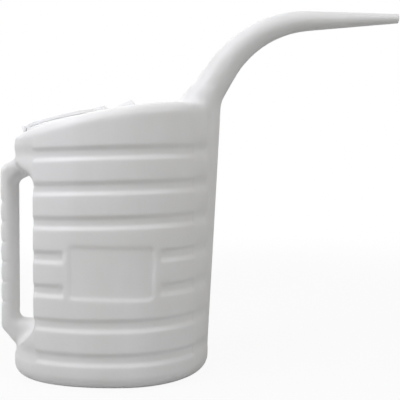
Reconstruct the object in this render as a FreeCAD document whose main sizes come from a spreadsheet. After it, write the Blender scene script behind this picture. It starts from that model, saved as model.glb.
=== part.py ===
"""Blow-moulded measuring jug with a long rigid spout, a moulded-in handle and a hinged filler lid.

Millimetres, +Z up. The origin is on the flat base, X runs towards the spout and Y across the jug.
The jug is symmetric about the XZ plane, which is where the two mould halves meet.
"""

import FreeCAD, Part  # FreeCAD has to be imported before Part
import math
import os

from FreeCAD import Vector

doc = FreeCAD.newDocument("measuring_jug")

# ---------------------------------------------------------------- driving sizes

SIZES = {
    # oval body, measured from the origin at the base
    "half_width": 75.0,
    "rear_foot": 126.3,
    "front_foot": 77.5,
    "rear_neck": 117.6,
    "front_neck": 86.0,
    "neck_drop": 32.2,
    "wall": 2.0,
    "foot_round": 15.0,
    "shoulder_round": 12.0,
    # sloping top, an arc that is level with the filler mouth at the mouth's centre
    "mouth_inset": 53.6,
    "mouth_level": 261.5,
    "top_slope": 11.84,
    "top_radius": 850.0,
    # stiffening grooves, evenly spaced from the lowest one up to the neck
    "groove_count": 7,
    "first_groove": 30.6,
    "groove_width": 13.6,
    "groove_floor": 6.4,
    "groove_depth": 2.3,
    # label panel on each side, and the plain land round it
    "panel_centre": 12.3,
    "panel_level": 114.3,
    "panel_length": 82.5,
    "panel_tall": 51.0,
    "panel_corner": 5.0,
    "panel_depth": 1.5,
    "panel_land": 5.0,
    # hand recess and handle: depths from the oval's rear line, drops from the filler mouth
    "recess_depth": 29.7,
    "recess_floor": 54.0,
    "recess_fall": 24.5,
    "recess_ceiling_drop": 56.5,
    "recess_rise": 20.0,
    "floor_round": 20.0,
    "ceiling_round": 6.0,
    "handle_reach": 14.0,
    "handle_bar": 16.4,
    "handle_width": 26.0,
    "handle_round": 8.0,
    "handle_head_drop": 43.0,
    "handle_heel": 50.5,
    "handle_root": 29.5,
    "gap_floor": 57.3,
    "gap_ceiling_drop": 58.0,
    "gap_rise": 14.0,
    "gap_round": 5.0,
    "grip_count": 6,
    "grip_margin": 20.9,
    "grip_width": 2.0,
    "grip_depth": 0.9,
    # spout: a column in the front of the body that bends over into a long tapered nozzle
    "column_foot": 59.2,
    "column_foot_level": 20.0,
    "column_head": 79.9,
    "column_head_drop": 8.0,
    "column_radius": 18.5,
    "neck_bend": 48.0,
    "neck_angle": 55.0,
    "neck_length": 24.0,
    "spout_bend": 108.0,
    "nozzle_length": 94.0,
    "tip_radius": 4.9,
    "tip_wall": 1.4,
    "flare_radius": 27.5,
    "flare_tall": 24.0,
    "flare_tuck": 4.5,
    "flare_drift": 5.0,
    "flare_turn": 16.0,
    # filler mouth and its collar
    "mouth_radius": 30.0,
    "collar_wall": 2.0,
    "collar_tall": 6.0,
    # fixed part of the cover: a ring round the collar and, in front of the hinge, a ramp
    "ring_gap": 0.3,
    "ring_width": 7.7,
    "ring_tall": 2.6,
    "seat_gap": 0.1,
    "ramp_start": 5.0,
    "ramp_knee": 12.0,
    "ramp_peak": 30.0,
    "ramp_end": 37.0,
    "ramp_start_tall": 1.1,
    "ramp_knee_tall": 4.6,
    "ramp_peak_tall": 7.1,
    "ramp_half_width": 17.0,
    # hinge, its axis in front of the ring and above it
    "hinge_offset": 4.0,
    "hinge_rise": 1.6,
    "knuckle_radius": 3.8,
    "knuckle_half_width": 8.9,
    "pin_radius": 1.5,
    "pin_clearance": 0.05,
    "pin_head_radius": 2.4,
    "pin_head_tall": 0.8,
    "ear_width": 6.0,
    "hinge_gap": 0.4,
    # lid, which covers the collar and rests just above the ring
    "lid_setback": 1.0,
    "lid_wall": 2.4,
    "lid_gap": 0.3,
    "lid_plate": 3.0,
    "dome_radius": 304.0,
    "nose_length": 3.4,
    "nose_half_width": 11.0,
    "nose_drop": 2.3,
    "nose_tall": 4.5,
}

# sizes that follow from the ones above; each formula is a cell of the same sheet
DERIVED = {
    "neck_level": "mouth_level - neck_drop",
    "mouth_setback": "rear_neck - mouth_inset",
    "groove_pitch": "(neck_level - first_groove) / (groove_count - 1)",
    "recess_ceiling": "mouth_level - recess_ceiling_drop",
    "handle_head": "mouth_level - handle_head_drop",
    "gap_ceiling": "mouth_level - gap_ceiling_drop",
    "grip_pitch": "(gap_ceiling - gap_floor - 2 * grip_margin) / (grip_count - 1)",
    "collar_radius": "mouth_radius + collar_wall",
    "ring_radius": "collar_radius + ring_gap + ring_width",
    "hinge_reach": "ring_radius + hinge_offset",
    "hinge_level": "ring_tall + hinge_rise",
    "lid_radius": "ring_radius - lid_setback",
    "nose_wall": "nose_length - lid_setback - lid_gap",
}

sheet = doc.addObject("Spreadsheet::Sheet", "sizes")
cells = [(alias, str(value)) for alias, value in SIZES.items()]
cells += [(alias, f"={formula}") for alias, formula in DERIVED.items()]
for row, (alias, content) in enumerate(cells, start=1):
    sheet.set(f"A{row}", alias)
    sheet.set(f"B{row}", content)
    sheet.setAlias(f"B{row}", alias)
doc.recompute()


def size(alias):
    return float(getattr(sheet, alias))


# ---------------------------------------------------------------- helpers


def bind(item, **expressions):
    """Tie an object's properties to the sheet; a double underscore stands for a dot."""
    for name, expression in expressions.items():
        item.setExpression(name.replace("__", "."), expression)
    return item


def block(name, u, v, w, length, width, height):
    """A box of the cover's own frame, from its low corner."""
    item = doc.addObject("Part::Box", name)
    return bind(
        item,
        Length=length,
        Width=width,
        Height=height,
        Placement__Base__x=u,
        Placement__Base__y=v,
        Placement__Base__z=w,
    )


def upright(name, radius, w, height):
    """A cylinder about the mouth's own axis."""
    item = doc.addObject("Part::Cylinder", name)
    return bind(item, Radius=radius, Height=height, Placement__Base__z=w)


def crosswise(name, radius, half_width):
    """A cylinder about the hinge's axis, centred on the mid-plane."""
    item = doc.addObject("Part::Cylinder", name)
    item.Placement.Rotation = FreeCAD.Rotation(Vector(1, 0, 0), -90)
    return bind(
        item,
        Radius=radius,
        Height=f"2 * ({half_width})",
        Placement__Base__x="sizes.hinge_reach",
        Placement__Base__y=f"-({half_width})",
        Placement__Base__z="sizes.hinge_level",
    )


def join(name, *items):
    fused = doc.addObject("Part::MultiFuse", name)
    fused.Shapes = list(items)
    return fused


def cut(name, base, tool):
    result = doc.addObject("Part::Cut", name)
    result.Base = base
    result.Tool = tool
    return result


def common(name, *items):
    result = doc.addObject("Part::MultiCommon", name)
    result.Shapes = list(items)
    return result


def feature(name, shape):
    item = doc.addObject("Part::Feature", name)
    item.Shape = shape
    return item


def lay_on_top(name, item):
    """Tip an object from the cover's own frame on to the sloping top, at the mouth."""
    laid = doc.addObject("Part::Compound", name)
    laid.Links = [item]
    laid.Placement.Rotation = FreeCAD.Rotation(Vector(0, -1, 0), 1)
    return bind(
        laid,
        Placement__Base__x="-sizes.mouth_setback",
        Placement__Base__z="sizes.mouth_level",
        Placement__Rotation__Angle="sizes.top_slope * 1 deg",
    )


# ---------------------------------------------------------------- outlines


def rear(level):
    """Distance of the oval's rear end behind the origin; the body leans towards the spout."""
    return size("rear_foot") + (size("rear_neck") - size("rear_foot")) * level / size("neck_level")


def front(level):
    return size("front_foot") + (size("front_neck") - size("front_foot")) * level / size("neck_level")


def oval(level, inset):
    """The body's plan at one level: half an ellipse to the rear and a shorter one to the front."""
    across = size("half_width") - inset
    centre = Vector(0, 0, level)
    halves = []
    for reach, way in ((front(level) - inset, 1), (rear(level) - inset, -1)):
        end = Vector(way * reach, 0, level)
        side = Vector(0, way * across, level)
        if reach > across:
            halves.append(Part.Ellipse(end, side, centre).toShape(-math.pi / 2, math.pi / 2))
        else:
            before = Vector(-way * reach, 0, level)
            halves.append(Part.Ellipse(side, before, centre).toShape(-math.pi, 0))
    return Part.Wire(halves)


def barrel(levels):
    """A solid through the body's ovals; levels holds pairs of height and inset."""
    return Part.makeLoft([oval(level, inset) for level, inset in levels], True, True)


def rounded(corners):
    """A closed wire in the XZ plane through corners (x, z, radius), each turned by an arc."""
    count = len(corners)
    starts, stops, middles = [], [], []
    for index, (x, z, radius) in enumerate(corners):
        here = Vector(x, 0, z)
        before = Vector(corners[index - 1][0], 0, corners[index - 1][1]) - here
        after = Vector(corners[(index + 1) % count][0], 0, corners[(index + 1) % count][1]) - here
        before.normalize()
        after.normalize()
        half = before.getAngle(after) / 2
        run = radius / math.tan(half)
        inward = before + after
        inward.normalize()
        starts.append(here + before * run)
        stops.append(here + after * run)
        middles.append(here + inward * (radius / math.sin(half) - radius))
    edges = []
    for index in range(count):
        if corners[index][2] > 0:
            edges.append(Part.Arc(starts[index], middles[index], stops[index]).toShape())
        following = (index + 1) % count
        edges.append(Part.makeLine(stops[index], starts[following]))
    return Part.Wire(edges)


def across_body(wire, half_width):
    """The solid that an XZ outline sweeps from side to side."""
    face = Part.Face(wire)
    face.translate(Vector(0, -half_width, 0))
    return face.extrude(Vector(0, 2 * half_width, 0))


def behind(reach, level):
    """The XZ point that lies reach beyond the oval's rear line at a level."""
    return -(rear(level) + reach), level


# ---------------------------------------------------------------- sloping top

slope = math.radians(size("top_slope"))
up_from_top = Vector(-math.sin(slope), 0, math.cos(slope))
mouth_centre = Vector(-size("mouth_setback"), 0, size("mouth_level"))
FAR = 400.0  # reaches past the jug on every side


def top_at(x, drop=0.0):
    """Height of the arc of the top at x, the arc shrunk by drop about its own centre."""
    middle = mouth_centre - up_from_top * size("top_radius")
    return middle.z + math.sqrt((size("top_radius") - drop) ** 2 - (x - middle.x) ** 2)


def below_top(drop):
    """Everything under the arc of the top, lowered by drop, from below the base to the spout's side."""
    ends = [Vector(x, 0, top_at(x, drop)) for x in (-FAR / 2, FAR / 2)]
    crown = Vector(0, 0, top_at(0.0, drop))
    edges = [
        Part.Arc(ends[0], crown, ends[1]).toShape(),
        Part.makeLine(ends[1], Vector(ends[1].x, 0, -FAR)),
        Part.makeLine(Vector(ends[1].x, 0, -FAR), Vector(ends[0].x, 0, -FAR)),
        Part.makeLine(Vector(ends[0].x, 0, -FAR), ends[0]),
    ]
    return across_body(Part.Wire(edges), FAR / 2)


# ---------------------------------------------------------------- body


def smooth_body(inset):
    """The oval body with its sloping top and rounded edges, before grooves and recess."""
    roof = size("mouth_level") + FAR / 4
    body = barrel([(inset, inset), (roof, inset)]).common(below_top(inset))
    foot = [edge for edge in body.Edges if abs(edge.CenterOfMass.z - inset) < 0.01]
    body = body.makeFillet(size("foot_round") - inset, foot)
    neck = size("neck_level")
    shoulder = [
        edge
        for edge in body.Edges
        if min(vertex.Z for vertex in edge.Vertexes) > neck and edge.Length > size("half_width")
    ]
    return body.makeFillet(size("shoulder_round") - inset, shoulder)


def recess(grow):
    """Outline of the space behind the handle, grown into the body by a wall."""
    wall_line = -size("recess_depth")
    floor_x, floor = behind(wall_line, size("recess_floor"))
    wall_x, ceiling = behind(wall_line, size("recess_ceiling"))
    away = -FAR / 2
    floor_away = floor - (floor_x - away) * size("recess_fall") / size("recess_depth")
    ceiling_away = ceiling + (wall_x - away) * size("recess_rise") / size("recess_depth")
    wire = rounded(
        [
            (away, floor_away, 0),
            (floor_x, floor, size("floor_round")),
            (wall_x, ceiling, size("ceiling_round")),
            (away, ceiling_away, 0),
        ]
    )
    if grow:
        wire = wire.makeOffset2D(grow)
    return across_body(wire, FAR / 2)


def grooves(inset):
    """Ring-shaped tools that press the stiffening grooves into the body."""
    half = size("groove_width") / 2
    floor = size("groove_floor") / 2
    spill = 1.0
    rise = size("groove_depth") * spill / (half - floor)
    tools = []
    for index in range(int(size("groove_count"))):
        level = size("first_groove") + index * size("groove_pitch")
        waist = barrel(
            [
                (level - half - spill, inset - rise),
                (level - floor, inset + size("groove_depth")),
                (level + floor, inset + size("groove_depth")),
                (level + half + spill, inset - rise),
            ]
        )
        sleeve = barrel([(end, inset - FAR / 20) for end in (level - half - spill, level + half + spill)])
        tools.append(sleeve.cut(waist))
    tools = Part.makeCompound(tools)
    return tools.cut(panel_prism(size("panel_land") - inset, -FAR / 2, FAR / 2))


def panel_prism(grow, low, high):
    """The label panel's outline, leaning with the body, as a prism across the jug."""
    long_half = size("panel_length") / 2 + grow
    tall_half = size("panel_tall") / 2 + grow
    corner = size("panel_corner") + grow
    wire = rounded(
        [
            (-long_half, -tall_half, corner),
            (long_half, -tall_half, corner),
            (long_half, tall_half, corner),
            (-long_half, tall_half, corner),
        ]
    )
    face = Part.Face(wire)
    face.translate(Vector(0, low, 0))
    prism = face.extrude(Vector(0, high - low, 0))
    centre_foot = (front(0) - rear(0)) / 2
    centre_neck = (front(size("neck_level")) - rear(size("neck_level"))) / 2
    lean = math.degrees(math.atan2(centre_neck - centre_foot, size("neck_level")))
    prism.rotate(Vector(0, 0, 0), Vector(0, 1, 0), lean)
    prism.translate(Vector(-size("panel_centre"), 0, size("panel_level")))
    return prism


def panels(inset):
    """Tools that sink the label panel into both sides."""
    low = size("panel_level") - size("panel_tall")
    high = size("panel_level") + size("panel_tall")
    core = barrel([(low, inset + size("panel_depth")), (high, inset + size("panel_depth"))])
    return panel_prism(inset, -FAR / 2, FAR / 2).cut(core)


def handle(inset):
    """The handle as a bent bar, its two legs running into the body."""
    inner = size("handle_reach") - size("handle_bar")
    root = -size("recess_depth") - 4 * size("wall")
    reach = size("handle_reach")
    shoulder = size("handle_head") + reach / 2
    wire = rounded(
        [
            (*behind(root, shoulder + size("handle_round")), 0),
            (*behind(1.0, shoulder + 1.0), 0),
            (*behind(reach, size("handle_head")), 1.5 * size("handle_round")),
            (*behind(reach, size("handle_heel")), 1.15 * size("handle_round")),
            (*behind(-3.0, size("handle_root")), 0),
            (*behind(root, size("handle_root")), 0),
            (*behind(root, size("gap_floor")), 0),
            (*behind(inner, size("gap_floor")), size("gap_round")),
            (*behind(inner, size("gap_ceiling")), size("gap_round")),
            (*behind(root, size("gap_ceiling") + size("gap_rise")), 0),
        ]
    )
    if inset:
        wire = wire.makeOffset2D(-inset)
    side = size("handle_width") / 2 - inset
    bar = across_body(wire, side)
    rims = [edge for edge in bar.Edges if abs(abs(edge.CenterOfMass.y) - side) < 0.01]
    return bar.makeFillet(size("handle_round") - inset, rims)


def grip_slabs():
    """Thin slabs that mark the finger notches on the outer three quarters of the bar."""
    slabs = []
    for index in range(int(size("grip_count"))):
        level = size("gap_floor") + size("grip_margin") + index * size("grip_pitch")
        x, _ = behind(size("handle_reach") - 0.75 * size("handle_bar"), level)
        corner = Vector(x - FAR / 4, -FAR / 4, level - size("grip_width") / 2)
        slabs.append(Part.makeBox(FAR / 4, FAR / 2, size("grip_width"), corner))
    return Part.makeCompound(slabs)


# ---------------------------------------------------------------- spout


def spout_stations():
    """Points along the spout's centre line with their heading above level and the outer radius."""
    foot = Vector(size("column_foot"), 0, size("column_foot_level"))
    head = Vector(size("column_head"), 0, top_at(size("column_head")) - size("column_head_drop"))
    column = head - foot
    heading = math.atan2(column.z, column.x)
    stations = [(foot, heading, 0.0), (head, heading, 0.0)]
    run = 0.0
    pieces = [
        (size("neck_bend"), math.radians(size("neck_angle")), 5),
        (size("neck_length"), None, 1),
        (size("spout_bend"), 0.0, 11),
        (size("nozzle_length"), None, 1),
    ]
    for length, turn_to, steps in pieces:
        start, from_heading, _ = stations[-1]
        for step in range(1, steps + 1):
            share = step / steps
            if turn_to is None:
                along = Vector(math.cos(from_heading), 0, math.sin(from_heading))
                stations.append((start + along * length * share, from_heading, run + length * share))
                continue
            now = from_heading + (turn_to - from_heading) * share
            chord = Vector(
                length * (math.sin(from_heading) - math.sin(now)),
                0,
                length * (math.cos(now) - math.cos(from_heading)),
            )
            stations.append((start + chord, now, run + length * (from_heading - now)))
        run = stations[-1][2]
    taper = (size("column_radius") - size("tip_radius")) / run
    return [(point, angle, size("column_radius") - taper * done) for point, angle, done in stations]


def ring_at(centre, heading, radius):
    """A circle square to the centre line, its seam always underneath."""
    ring = Part.Wire(Part.Circle(Vector(0, 0, 0), Vector(0, 0, 1), radius).toShape())
    ring.rotate(Vector(0, 0, 0), Vector(0, 1, 0), 90 - math.degrees(heading))
    ring.translate(centre)
    return ring


def spout(inset, overshoot):
    """The column, neck and nozzle in one loft; the bore runs past the tip by overshoot."""
    stations = spout_stations()
    rings = []
    for point, heading, radius in stations:
        bore = radius - inset
        if inset:
            share = (size("column_radius") - radius) / (size("column_radius") - size("tip_radius"))
            bore += (size("wall") - size("tip_wall")) * share
        rings.append(ring_at(point, heading, bore))
    body = Part.makeLoft(rings, True, True)
    if overshoot:
        tip, heading, radius = stations[-1]
        along = Vector(math.cos(heading), 0, math.sin(heading))
        body = body.fuse(Part.makeCylinder(radius - size("tip_wall"), overshoot, tip - along * 0.5, along))
    return body


def flare(inset):
    """The wider root where the spout leaves the sloping top; its upper end runs into the spout."""
    head, heading, radius = spout_stations()[1]
    rings = []
    for share, widen in ((-0.35, 1.45), (0.0, 1.0), (0.18, 0.55), (0.5, 0.22), (1.0, -0.3)):
        risen = max(share, 0.0)
        along = Vector(math.cos(heading), 0, math.sin(heading)) * size("flare_tall") * share
        grown = radius + (size("flare_radius") - radius) * widen
        sideways = radius - grown - size("flare_tuck") * widen + size("flare_drift") * risen**2
        turned = heading - math.radians(size("flare_turn")) * risen
        rings.append(ring_at(head + along + Vector(sideways, 0, 0), turned, grown - inset))
    return Part.makeLoft(rings, True, False)


# ---------------------------------------------------------------- jug

collar = upright(
    "collar_post",
    "sizes.collar_radius",
    "-sizes.shoulder_round",
    "sizes.shoulder_round + sizes.collar_tall",
)
shell = cut("oval_shell", feature("body_skin", smooth_body(0.0)), feature("hand_recess", recess(0.0)))
shell = cut("grooved_shell", shell, feature("groove_rings", grooves(0.0)))
shell = cut("panelled_shell", shell, feature("label_panels", panels(0.0)))
grip = cut("notched_bar", feature("handle_skin", handle(0.0)), feature("grip_slabs", grip_slabs()))
outside = join(
    "outside",
    shell,
    grip,
    feature("handle_core", handle(size("grip_depth"))),
    feature("spout_skin", spout(0.0, 0.0)),
    feature("flare_skin", flare(0.0)),
    lay_on_top("collar_on_top", collar),
)

skin = feature("cavity_skin", smooth_body(size("wall")))
cavity = cut("oval_cavity", skin, feature("recess_wall", recess(size("wall"))))
cavity = cut("grooved_cavity", cavity, feature("groove_walls", grooves(size("wall"))))
cavity = cut("panelled_cavity", cavity, feature("panel_walls", panels(size("wall"))))
inside = join(
    "inside",
    cavity,
    feature("handle_cavity", handle(size("wall"))),
    feature("spout_bore", spout(size("wall"), 3.0)),
    feature("flare_bore", flare(size("wall"))),
)

mouth = upright("mouth_hole", "sizes.mouth_radius", "-2 * sizes.shoulder_round", "4 * sizes.shoulder_round")
jug = cut("jug", cut("hollow_jug", outside, inside), lay_on_top("mouth_on_top", mouth))

# ---------------------------------------------------------------- fixed part of the cover

EAR_OUT = "sizes.knuckle_half_width + sizes.hinge_gap + sizes.ear_width"
FREE_RADIUS = "sizes.knuckle_radius + sizes.hinge_gap"
DEEP = "2 * sizes.ring_tall"  # the cover's pieces start below the top and are trimmed to it


def ramp():
    """The raised ramp that carries the hinge and stops the opened lid."""
    corners = [
        (size("ramp_start"), -2 * size("ring_tall")),
        (size("ramp_start"), size("ramp_start_tall")),
        (size("ramp_knee"), size("ramp_knee_tall")),
        (size("ramp_peak"), size("ramp_peak_tall")),
        (size("ramp_end"), -2 * size("ring_tall")),
    ]
    points = [Vector(size("hinge_reach") + ahead, 0, w) for ahead, w in corners]
    return across_body(Part.makePolygon(points + points[:1]), size("ramp_half_width"))


ring_disc = upright("ring_disc", "sizes.ring_radius", f"-({DEEP})", f"{DEEP} + sizes.ring_tall")
bridge = block(
    "hinge_bridge",
    "sizes.ring_radius - sizes.ring_tall",
    "-sizes.knuckle_half_width",
    f"-({DEEP})",
    "sizes.hinge_offset + sizes.ramp_start + 1 + sizes.ring_tall",
    "2 * sizes.knuckle_half_width",
    f"{DEEP} + sizes.hinge_level - sizes.knuckle_radius + sizes.hinge_gap",
)
post = block(
    "knuckle_post",
    "sizes.hinge_reach - sizes.knuckle_radius + sizes.hinge_gap",
    "-sizes.knuckle_half_width",
    "0",
    "2 * (sizes.knuckle_radius - sizes.hinge_gap)",
    "2 * sizes.knuckle_half_width",
    "sizes.hinge_level",
)
knuckle = crosswise("knuckle", "sizes.knuckle_radius", "sizes.knuckle_half_width")
ramp_block = feature("ramp_block", ramp())
COLLAR_FIT = "sizes.collar_radius + sizes.ring_gap"
PIN_FIT = "sizes.pin_radius + sizes.pin_clearance"
collar_hole = upright("collar_hole", COLLAR_FIT, f"-2 * ({DEEP})", f"4 * ({DEEP})")
hinge_bore = crosswise("hinge_bore", PIN_FIT, "sizes.knuckle_half_width + 1")
cover_solid = join("cover_solid", ring_disc, bridge, post, knuckle, ramp_block)
cover_holes = join("cover_holes", collar_hole, hinge_bore)
cover_above = lay_on_top("cover_above", cut("cover_blank", cover_solid, cover_holes))
cover_base = cut("cover_base", cover_above, feature("jug_top", below_top(-size("seat_gap"))))

# ---------------------------------------------------------------- hinge pin

pin_head = crosswise("pin_head", "sizes.pin_head_radius", "sizes.pin_head_tall / 2")
bind(pin_head, Placement__Base__y=EAR_OUT)
pin_blank = join("pin_blank", crosswise("pin_rod", "sizes.pin_radius", EAR_OUT), pin_head)
hinge_pin = lay_on_top("hinge_pin", pin_blank)

# ---------------------------------------------------------------- lid

SKIRT = "sizes.ring_tall + sizes.lid_gap"
RIM = "sizes.collar_tall + sizes.lid_gap"

lid_disc = upright("lid_disc", "sizes.lid_radius", SKIRT, "4 * sizes.ring_tall")
dome = doc.addObject("Part::Sphere", "dome")
bind(dome, Radius="sizes.dome_radius", Placement__Base__z=f"{RIM} + sizes.lid_plate - sizes.dome_radius")
under_lid = upright("under_lid", "sizes.lid_radius - sizes.lid_wall", "0", RIM)
nose_tab = block(
    "nose_tab",
    "-(sizes.lid_radius + sizes.nose_length)",
    "-sizes.nose_half_width",
    SKIRT,
    "sizes.nose_length + sizes.lid_wall",
    "2 * sizes.nose_half_width",
    "sizes.nose_tall",
)
nose_lip = block(
    "nose_lip",
    "-(sizes.lid_radius + sizes.nose_length)",
    "-sizes.nose_half_width",
    "sizes.ring_tall - sizes.nose_drop",
    "sizes.nose_wall",
    "2 * sizes.nose_half_width",
    "sizes.nose_drop + sizes.lid_gap + 0.5",
)
ears = []
for side, start in (("near", f"-({EAR_OUT})"), ("far", "sizes.knuckle_half_width + sizes.hinge_gap")):
    arm = block(
        f"{side}_arm",
        "sizes.hinge_reach - 2.5 * sizes.knuckle_radius",
        start,
        SKIRT,
        "2.5 * sizes.knuckle_radius",
        "sizes.ear_width",
        f"sizes.hinge_level + sizes.knuckle_radius - ({SKIRT})",
    )
    ears.append(arm)
eyes = crosswise("ear_eyes", "sizes.knuckle_radius", EAR_OUT)
tongue_room = crosswise("tongue_room", FREE_RADIUS, "sizes.knuckle_half_width + sizes.hinge_gap")
pin_room = crosswise("pin_room", "sizes.pin_radius", f"{EAR_OUT} + 1")
lid_cap = cut("lid_cap", common("domed_disc", lid_disc, dome), under_lid)
lid_solid = join("lid_solid", lid_cap, nose_tab, nose_lip, *ears, eyes)
lid = lay_on_top("lid", cut("lid_blank", lid_solid, join("hinge_room", tongue_room, pin_room)))

# ---------------------------------------------------------------- check and write

doc.recompute()
failed = [item.Label for item in doc.Objects if {"Invalid", "Error"} & set(item.State)]
if failed:
    raise RuntimeError(f"these objects failed: {failed}")

os.makedirs("parts", exist_ok=True)
for item in (jug, cover_base, hinge_pin, lid):
    shape = item.Shape
    if shape.isNull() or not shape.isValid() or len(shape.Solids) != 1:
        raise RuntimeError(f"{item.Label} is not one valid solid")
    shape.exportStep(f"parts/{item.Label}.step")
    box = shape.BoundBox
    extent = f"{box.XLength:.1f} x {box.YLength:.1f} x {box.ZLength:.1f} mm"
    print(f"{item.Label}: {extent}, {shape.Volume / 1000:.1f} cm3")
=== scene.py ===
import math

import bmesh
import bpy
from mathutils import Matrix, Vector


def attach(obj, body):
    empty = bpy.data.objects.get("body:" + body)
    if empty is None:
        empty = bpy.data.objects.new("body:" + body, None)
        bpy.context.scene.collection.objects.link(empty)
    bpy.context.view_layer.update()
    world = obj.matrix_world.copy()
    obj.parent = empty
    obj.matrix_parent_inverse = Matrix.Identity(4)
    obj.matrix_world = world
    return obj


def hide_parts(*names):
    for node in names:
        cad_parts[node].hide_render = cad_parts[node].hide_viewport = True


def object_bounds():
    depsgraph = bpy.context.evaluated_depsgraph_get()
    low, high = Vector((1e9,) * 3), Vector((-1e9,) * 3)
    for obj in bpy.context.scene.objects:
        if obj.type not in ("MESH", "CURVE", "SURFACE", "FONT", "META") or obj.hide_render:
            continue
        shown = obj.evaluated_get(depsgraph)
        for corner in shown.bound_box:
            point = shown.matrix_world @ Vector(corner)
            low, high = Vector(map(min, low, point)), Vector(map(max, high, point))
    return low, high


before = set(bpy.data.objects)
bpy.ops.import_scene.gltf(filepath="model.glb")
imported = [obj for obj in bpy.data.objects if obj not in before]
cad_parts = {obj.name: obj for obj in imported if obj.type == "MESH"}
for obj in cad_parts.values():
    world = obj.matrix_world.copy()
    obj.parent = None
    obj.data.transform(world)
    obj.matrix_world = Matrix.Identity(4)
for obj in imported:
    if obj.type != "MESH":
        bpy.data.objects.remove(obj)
cadLow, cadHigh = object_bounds()
print("frame loaded")

# camera and stage

cameraSetup = {
    "place": (0.0744, -0.7035, 0.2202),
    "pitchDown": 3.44,
    "roll": -1.57,
    "lens": 60.3,
    "near": 0.01,
    "far": 60,
}


def placeCamera():
    data = bpy.data.cameras.new("camera")
    data.lens = cameraSetup["lens"]
    data.clip_start = cameraSetup["near"]
    data.clip_end = cameraSetup["far"]
    camera = bpy.data.objects.new("camera", data)
    tilt = Matrix.Rotation(math.radians(90 - cameraSetup["pitchDown"]), 4, "X")
    roll = Matrix.Rotation(math.radians(cameraSetup["roll"]), 4, "Z")
    camera.matrix_world = Matrix.Translation(cameraSetup["place"]) @ tilt @ roll
    bpy.context.scene.collection.objects.link(camera)
    bpy.context.scene.camera = camera


placeCamera()
print("camera placed")

# shader helpers


class Channel:
    # one output socket that takes part in plain arithmetic

    def __init__(self, finish, socket):
        self.finish = finish
        self.socket = socket

    def __add__(self, other):
        return self.finish.maths("ADD", self, other)

    __radd__ = __add__

    def __sub__(self, other):
        return self.finish.maths("SUBTRACT", self, other)

    def __rsub__(self, other):
        return self.finish.maths("SUBTRACT", other, self)

    def __mul__(self, other):
        return self.finish.maths("MULTIPLY", self, other)

    __rmul__ = __mul__


class Finish:
    # a material or world tree that adds nodes by type, settings and socket values

    def __init__(self, owner):
        owner.use_nodes = True
        self.owner = owner
        self.tree = owner.node_tree
        self.tree.nodes.clear()

    def node(self, kind, settings=None, sockets=None, output=0):
        made = self.tree.nodes.new(kind)
        for name, value in (settings or {}).items():
            setattr(made, name, value)
        for name, value in (sockets or {}).items():
            self.feed(made.inputs[name], value)
        return Channel(self, made.outputs[output]) if len(made.outputs) else made

    def feed(self, socket, value):
        if isinstance(value, Channel):
            self.tree.links.new(value.socket, socket)
        else:
            socket.default_value = value

    def maths(self, operation, *values):
        return self.node("ShaderNodeMath", {"operation": operation}, dict(enumerate(values)))

    def place(self):
        return self.node("ShaderNodeTexCoord", output="Object")

    def noise(self, scale, detail=2.0, stretch=(1.0, 1.0, 1.0), roughness=0.5):
        spread = self.node("ShaderNodeMapping", sockets={"Vector": self.place(), "Scale": stretch})
        return self.node(
            "ShaderNodeTexNoise",
            sockets={"Vector": spread, "Scale": scale, "Detail": detail, "Roughness": roughness},
        )

    def mix(self, share, first, second):
        return self.node(
            "ShaderNodeMix",
            {"data_type": "RGBA"},
            {"Factor": share, 6: (*first, 1.0), 7: (*second, 1.0)},
            output=2,
        )

    def smoothStep(self, value, low, high):
        return self.node(
            "ShaderNodeMapRange",
            {"interpolation_type": "SMOOTHSTEP"},
            {"Value": value, "From Min": low, "From Max": high},
        )

    def surface(self, shader):
        self.node("ShaderNodeOutputMaterial", sockets={"Surface": shader})
        return self.owner

    def plastic(self, recipe, colour, rough, height):
        bump = self.node(
            "ShaderNodeBump",
            sockets={
                "Height": height,
                "Distance": recipe["bumpDistance"],
                "Strength": recipe["bumpStrength"],
            },
        )
        shader = self.node(
            "ShaderNodeBsdfPrincipled",
            sockets={
                "Base Color": colour,
                "Roughness": rough,
                "Normal": bump,
                "IOR": polymer["ior"],
                "Subsurface Weight": recipe["subsurface"],
                "Subsurface Radius": polymer["scatter"],
                "Subsurface Scale": recipe["subsurfaceDepth"],
            },
        )
        return self.surface(shader)


# plastics

polymer = {
    "ior": 1.5,
    "scatter": (1.0, 1.0, 1.05),
    "richDetail": 3.0,
}
naturalPlastic = {
    "milky": (0.830, 0.828, 0.828),
    "thin": (0.795, 0.790, 0.775),
    "cloud": 9.0,
    "cloudShare": 0.6,
    "streak": 26.0,
    "streakShare": 0.4,
    "streakStretch": (1.0, 1.0, 0.16),
    "patchLow": 0.36,
    "patchHigh": 0.64,
    "grain": 430.0,
    "grainRoughness": 0.6,
    "grainHeight": 0.5,
    "dimple": 90.0,
    "dimpleHeight": 0.8,
    "gloss": 160.0,
    "glossLow": 0.35,
    "glossHigh": 0.65,
    "roughLow": 0.40,
    "roughHigh": 0.50,
    "seamHalfWidth": 0.0007,
    "seamHeight": 1.1,
    "bumpDistance": 0.00025,
    "bumpStrength": 0.35,
    "subsurface": 0.40,
    "subsurfaceDepth": 0.006,
}
lidPlastic = {
    "light": (0.970, 0.970, 0.972),
    "shade": (0.945, 0.945, 0.950),
    "cloud": 22.0,
    "patchLow": 0.35,
    "patchHigh": 0.65,
    "grain": 900.0,
    "dimple": 150.0,
    "dimpleHeight": 0.6,
    "roughLow": 0.30,
    "roughHigh": 0.42,
    "bumpDistance": 0.00012,
    "bumpStrength": 0.25,
    "subsurface": 0.15,
    "subsurfaceDepth": 0.003,
}


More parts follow.
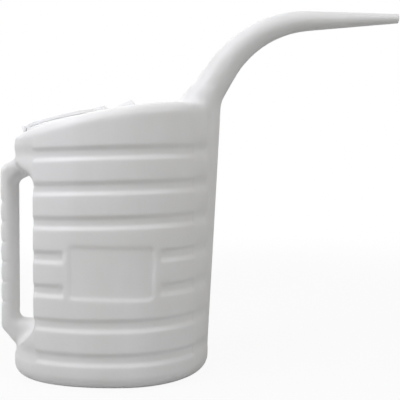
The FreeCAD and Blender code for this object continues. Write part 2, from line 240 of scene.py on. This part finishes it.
def naturalFinish():
    recipe = naturalPlastic
    finish = Finish(bpy.data.materials.new("naturalPolyethylene"))
    cloud = finish.noise(recipe["cloud"], detail=polymer["richDetail"])
    streak = finish.noise(recipe["streak"], stretch=recipe["streakStretch"])
    patch = finish.smoothStep(
        cloud * recipe["cloudShare"] + streak * recipe["streakShare"],
        recipe["patchLow"],
        recipe["patchHigh"],
    )
    colour = finish.mix(patch, recipe["thin"], recipe["milky"])
    grain = finish.noise(recipe["grain"], roughness=recipe["grainRoughness"])
    dimple = finish.noise(recipe["dimple"])
    spanwise = finish.node("ShaderNodeSeparateXYZ", sockets={"Vector": finish.place()}, output="Y")
    away = finish.maths("ABSOLUTE", spanwise)
    # the mould's parting line runs round the middle
    seam = 1 - finish.smoothStep(away, 0.0, recipe["seamHalfWidth"])
    height = grain * recipe["grainHeight"] + dimple * recipe["dimpleHeight"]
    height = height + seam * recipe["seamHeight"]
    gloss = finish.noise(recipe["gloss"], detail=polymer["richDetail"])
    dull = finish.smoothStep(gloss, recipe["glossLow"], recipe["glossHigh"])
    rough = recipe["roughLow"] + (recipe["roughHigh"] - recipe["roughLow"]) * dull
    return finish.plastic(recipe, colour, rough, height)


def lidFinish():
    recipe = lidPlastic
    finish = Finish(bpy.data.materials.new("whitePolypropylene"))
    cloud = finish.noise(recipe["cloud"], detail=polymer["richDetail"])
    patch = finish.smoothStep(cloud, recipe["patchLow"], recipe["patchHigh"])
    colour = finish.mix(patch, recipe["shade"], recipe["light"])
    height = finish.noise(recipe["grain"]) + finish.noise(recipe["dimple"]) * recipe["dimpleHeight"]
    rough = recipe["roughLow"] + (recipe["roughHigh"] - recipe["roughLow"]) * patch
    return finish.plastic(recipe, colour, rough, height)


jugMaterial = naturalFinish()
coverMaterial = lidFinish()
print("plastics mixed")

# mesh helpers

meshWork = {
    "weld": 2e-6,
    "smoothFactor": 0.5,
    "trianglesPerFace": 2,
}


def newPiece(mesh, name, material):
    data = bpy.data.meshes.new(name)
    mesh.to_mesh(data)
    mesh.free()
    data.materials.append(material)
    piece = bpy.data.objects.new(name, data)
    bpy.context.scene.collection.objects.link(piece)
    return piece


def settle(piece):
    # the live modifiers become the mesh itself
    graph = bpy.context.evaluated_depsgraph_get()
    done = bpy.data.meshes.new_from_object(piece.evaluated_get(graph))
    piece.modifiers.clear()
    piece.data = done


def mergedCopy(node):
    mesh = bmesh.new()
    mesh.from_mesh(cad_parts[node].data)
    bmesh.ops.remove_doubles(mesh, verts=mesh.verts, dist=meshWork["weld"])
    return mesh


def remesh(piece, voxel):
    skin = piece.modifiers.new("skin", "REMESH")
    skin.mode = "VOXEL"
    skin.voxel_size = voxel
    settle(piece)


def reshape(piece, steps):
    mesh = bmesh.new()
    mesh.from_mesh(piece.data)
    for step in steps:
        step(mesh)
    mesh.to_mesh(piece.data)
    mesh.free()


def thinOut(piece, triangles):
    # remeshed faces are quads, so each counts as two triangles
    thin = piece.modifiers.new("thin", "DECIMATE")
    thin.ratio = triangles / (meshWork["trianglesPerFace"] * len(piece.data.polygons))
    settle(piece)


def subtract(piece, tool):
    cut = piece.modifiers.new("cut", "BOOLEAN")
    cut.operation = "DIFFERENCE"
    cut.object = tool
    cut.solver = "MANIFOLD"
    settle(piece)
    bpy.data.objects.remove(tool)


def fillHoles(mesh):
    edges = [edge for edge in mesh.edges if edge.is_boundary]
    bmesh.ops.holes_fill(mesh, edges=edges, sides=0)
    bmesh.ops.recalc_face_normals(mesh, faces=mesh.faces)


def shadeSmooth(piece):
    for polygon in piece.data.polygons:
        polygon.use_smooth = True


def smoothZone(mesh, inside, rounds):
    verts = [vert for vert in mesh.verts if inside(vert.co)]
    for _ in range(rounds):
        bmesh.ops.smooth_vert(
            mesh,
            verts=verts,
            factor=meshWork["smoothFactor"],
            use_axis_x=True,
            use_axis_y=True,
            use_axis_z=True,
        )


# jug: one blown skin with its wall, spout and handle

jugShape = {
    "mouthCentre": Vector((-0.064, 0.0, 0.2615)),
    "topSlope": 11.84,
    "mouthRadius": 0.030,
    "voxel": 0.0010,
    "smoothing": 5,
    "triangles": 140000,
    "collarTop": 0.006,
    "rimRadiusSlack": 0.0002,
    "rimLevelSlack": 0.0003,
    "tipMiddle": 0.0042,
    "tipSlack": 0.0004,
    "overrun": 0.002,
}
softSpots = {
    "column": {"low": (0.052, 0.007, 0.008), "high": (0.096, 0.042, 0.262), "rounds": 55},
    "spoutRoot": {"low": (0.020, -1.0, 0.256), "high": (0.084, 0.045, 0.312), "rounds": 80},
    "neckFront": {"low": (0.084, -1.0, 0.262), "high": (0.130, 0.040, 0.318), "rounds": 30},
    "handleHead": {"low": (-0.124, -1.0, 0.196), "high": (-0.082, 0.050, 0.246), "rounds": 110},
    "handleHeel": {"low": (-0.124, -1.0, 0.022), "high": (-0.082, 0.050, 0.068), "rounds": 110},
    "label": {"low": (-0.066, 0.050, 0.080), "high": (0.042, 0.080, 0.149), "rounds": 10},
}
fingers = {
    "low": 0.068,
    "high": 0.193,
    "behind": -0.122,
    "deep": 0.008,
    "halfWidth": 0.020,
    "firstNotch": 0.0782,
    "pitch": 0.02088,
    "depth": 0.0016,
    "roundness": 0.55,
}
topTilt = Matrix.Rotation(math.radians(-jugShape["topSlope"]), 4, "Y")
onTop = Matrix.Translation(jugShape["mouthCentre"]) @ topTilt


def mouthEdges(mesh):
    # the upper edge of the mouth's bore, where the collar's top meets it
    found = []
    for edge in mesh.edges:
        places = [onTop.inverted() @ vert.co for vert in edge.verts]
        aside = [abs(math.hypot(at.x, at.y) - jugShape["mouthRadius"]) for at in places]
        above = [abs(at.z - jugShape["collarTop"]) for at in places]
        if max(aside) < jugShape["rimRadiusSlack"] and max(above) < jugShape["rimLevelSlack"]:
            found.append(edge)
    return found


def tipEdges(mesh):
    # the inner edge of the nozzle's ring-shaped end
    end = [vert for vert in mesh.verts if vert.co.x > cadHigh.x - jugShape["tipSlack"]]
    centre = sum((vert.co for vert in end), Vector()) / len(end)
    inner = {vert for vert in end if (vert.co - centre).length < jugShape["tipMiddle"]}
    return [edge for edge in mesh.edges if inner.issuperset(edge.verts)]


def splitSkins():
    # closed meshes of the outside and of the inside, the inside running a little past both ends
    mesh = mergedCopy("jug")
    bmesh.ops.split_edges(mesh, edges=mouthEdges(mesh) + tipEdges(mesh))
    start = min(mesh.verts, key=lambda vert: vert.co.z)
    reached = {start}
    front = [start]
    while front:
        for edge in front.pop().link_edges:
            for other in edge.verts:
                if other not in reached:
                    reached.add(other)
                    front.append(other)
    inner = mesh.copy()
    for vert, twin in zip(list(mesh.verts), list(inner.verts)):
        if vert in reached:
            inner.verts.remove(twin)
        else:
            mesh.verts.remove(vert)
    upward = onTop.to_3x3() @ Vector((0, 0, jugShape["overrun"]))
    # of the inner skin's two open edges, the mouth's is behind x = 0 and the nozzle's in front
    for vert in inner.verts:
        if vert.is_boundary:
            vert.co += upward if vert.co.x < 0 else Vector((jugShape["overrun"], 0, 0))
    for part in (mesh, inner):
        fillHoles(part)
    return mesh, inner


def smoothToTip(mesh):
    # the nozzle's end face stays flat
    smoothZone(mesh, lambda co: co.x < cadHigh.x - jugShape["overrun"], jugShape["smoothing"])


def relaxBlownSkin(mesh):
    # melt the joints between the body, spout and handle into each other, as a blown skin does
    for spot in softSpots.values():
        low, high = Vector(spot["low"]), Vector(spot["high"])

        def inside(co):
            return low.x < co.x < high.x and low.y < abs(co.y) < high.y and low.z < co.z < high.z

        smoothZone(mesh, inside, spot["rounds"])


def carveFingers(mesh):
    # notches are sunk into the grip's outer side, and it bellies between them
    for vert in mesh.verts:
        onGrip = fingers["low"] < vert.co.z < fingers["high"] and vert.co.x < fingers["behind"]
        if not onGrip:
            continue
        turn = (vert.co.z - fingers["firstNotch"]) / fingers["pitch"]
        across = max(0.0, 1 - (vert.co.y / fingers["halfWidth"]) ** 2)
        rear = min(1.0, (fingers["behind"] - vert.co.x) / fingers["deep"])
        notch = 1 - abs(math.sin(math.pi * turn)) ** fingers["roundness"]
        vert.co.x += fingers["depth"] * rear * across * notch


outer, inner = splitSkins()
jugPiece = newPiece(outer, "jug_body", jugMaterial)
corePiece = newPiece(inner, "core", jugMaterial)
remesh(jugPiece, jugShape["voxel"])
reshape(jugPiece, [smoothToTip, relaxBlownSkin, carveFingers])
thinOut(jugPiece, jugShape["triangles"])
subtract(jugPiece, corePiece)
shadeSmooth(jugPiece)
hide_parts("jug")
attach(jugPiece, "jug")
print("jug blown")

# cover: moulded parts with softened edges

coverShape = {
    "voxel": 0.0006,
    "smoothing": 3,
    "triangles": 45000,
}
coverParts = {
    "fixed_cover": {"node": "cover_base", "body": "jug"},
    "flip_lid": {"node": "lid", "body": "lid"},
}
noseLip = {
    "inside": 0.0404,
    "reach": 0.0006,
    "under": 0.0028,
    "halfWidth": 0.0112,
}


def wrapLip(mesh):
    # the inside of the nose's lip follows the round ring instead of running straight across
    for vert in mesh.verts:
        at = onTop.inverted() @ vert.co
        near = abs(at.x + noseLip["inside"]) < noseLip["reach"]
        if near and abs(at.y) < noseLip["halfWidth"] and at.z < noseLip["under"]:
            at.x += noseLip["inside"] - math.sqrt(noseLip["inside"] ** 2 - at.y**2)
            vert.co = onTop @ at


def mouldCover(name, part):
    piece = newPiece(mergedCopy(part["node"]), name, coverMaterial)
    remesh(piece, coverShape["voxel"])
    steps = [lambda mesh: smoothZone(mesh, lambda co: True, coverShape["smoothing"])]
    if part["node"] == "lid":
        steps.append(wrapLip)
    reshape(piece, steps)
    thinOut(piece, coverShape["triangles"])
    shadeSmooth(piece)
    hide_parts(part["node"])
    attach(piece, part["body"])


for name, part in coverParts.items():
    mouldCover(name, part)
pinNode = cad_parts["hinge_pin"]
pinNode.data.materials.clear()
pinNode.data.materials.append(coverMaterial)
print("cover moulded")

# floor, world and lamps

studio = {
    "ambient": 0.32,
    "glowShare": 0.93,
    "fadeFrom": 0.45,
    "fadeTo": 1.3,
    "aim": (0.02, 0.0, 0.18),
    "floorHalf": 20,
    "paper": (0.58, 0.58, 0.58, 1.0),
    "white": (1.0, 1.0, 1.0, 1.0),
    "ambientColour": (1.0, 0.99, 0.94, 1.0),
}
lamps = {
    "key": {
        "place": (-0.46, -0.35, 1.06),
        "size": 0.7,
        "energy": 5.7,
        "colour": (0.91, 0.92, 1.0),
    },
    "rightHigh": {
        "place": (0.70, -0.62, 0.95),
        "size": 0.6,
        "energy": 3.6,
        "colour": (0.98, 0.98, 1.0),
    },
    "leftFill": {
        "place": (-1.2, -0.5, 0.9),
        "size": 0.7,
        "energy": 4.7,
        "colour": (0.97, 0.97, 1.0),
    },
    "backHigh": {
        "place": (-0.5, 1.3, 1.5),
        "size": 1.0,
        "energy": 3.5,
        "colour": (1.0, 0.98, 0.90),
    },
}


def addFloor():
    mesh = bmesh.new()
    bmesh.ops.create_grid(mesh, x_segments=1, y_segments=1, size=studio["floorHalf"])
    bmesh.ops.translate(mesh, verts=mesh.verts, vec=(0, 0, cadLow.z))
    finish = Finish(bpy.data.materials.new("paleFloor"))
    paper = finish.node("ShaderNodeBsdfDiffuse", sockets={"Color": studio["paper"]})
    glow = finish.node("ShaderNodeEmission", sockets={"Color": studio["white"], "Strength": 1.0})
    seen = finish.node("ShaderNodeLightPath", output="Is Camera Ray")
    away = finish.node(
        "ShaderNodeVectorMath", {"operation": "LENGTH"}, {0: finish.place()}, output="Value"
    )
    fade = finish.smoothStep(away, studio["fadeFrom"], studio["fadeTo"])
    share = studio["glowShare"] + (1 - studio["glowShare"]) * fade
    blend = finish.node("ShaderNodeMixShader", sockets={0: seen * share, 1: paper, 2: glow})
    floor = newPiece(mesh, "floor", finish.surface(blend))


def lightWorld():
    world = bpy.data.worlds.new("studio")
    bpy.context.scene.world = world
    finish = Finish(world)
    white = finish.node("ShaderNodeBackground", sockets={"Color": studio["white"], "Strength": 1.0})
    dim = finish.node(
        "ShaderNodeBackground",
        sockets={"Color": studio["ambientColour"], "Strength": studio["ambient"]},
    )
    camera = finish.node("ShaderNodeLightPath", output="Is Camera Ray")
    glossy = finish.node("ShaderNodeLightPath", output="Is Glossy Ray")
    through = finish.node("ShaderNodeLightPath", output="Is Transmission Ray")
    seen = finish.maths("MINIMUM", camera + glossy + through, 1.0)
    finish.node(
        "ShaderNodeOutputWorld",
        sockets={"Surface": finish.node("ShaderNodeMixShader", sockets={0: seen, 1: dim, 2: white})},
    )


def addLamp(name, lamp):
    data = bpy.data.lights.new(name, "AREA")
    data.size = lamp["size"]
    data.energy = lamp["energy"]
    data.color = lamp["colour"]
    holder = bpy.data.objects.new(name, data)
    ray = Vector(studio["aim"]) - Vector(lamp["place"])
    turn = ray.to_track_quat("-Z", "Y").to_matrix().to_4x4()
    holder.matrix_world = Matrix.Translation(lamp["place"]) @ turn
    bpy.context.scene.collection.objects.link(holder)


addFloor()
lightWorld()
for name, lamp in lamps.items():
    addLamp(name, lamp)
bpy.context.scene.view_settings.view_transform = "Standard"
print("stage lit")
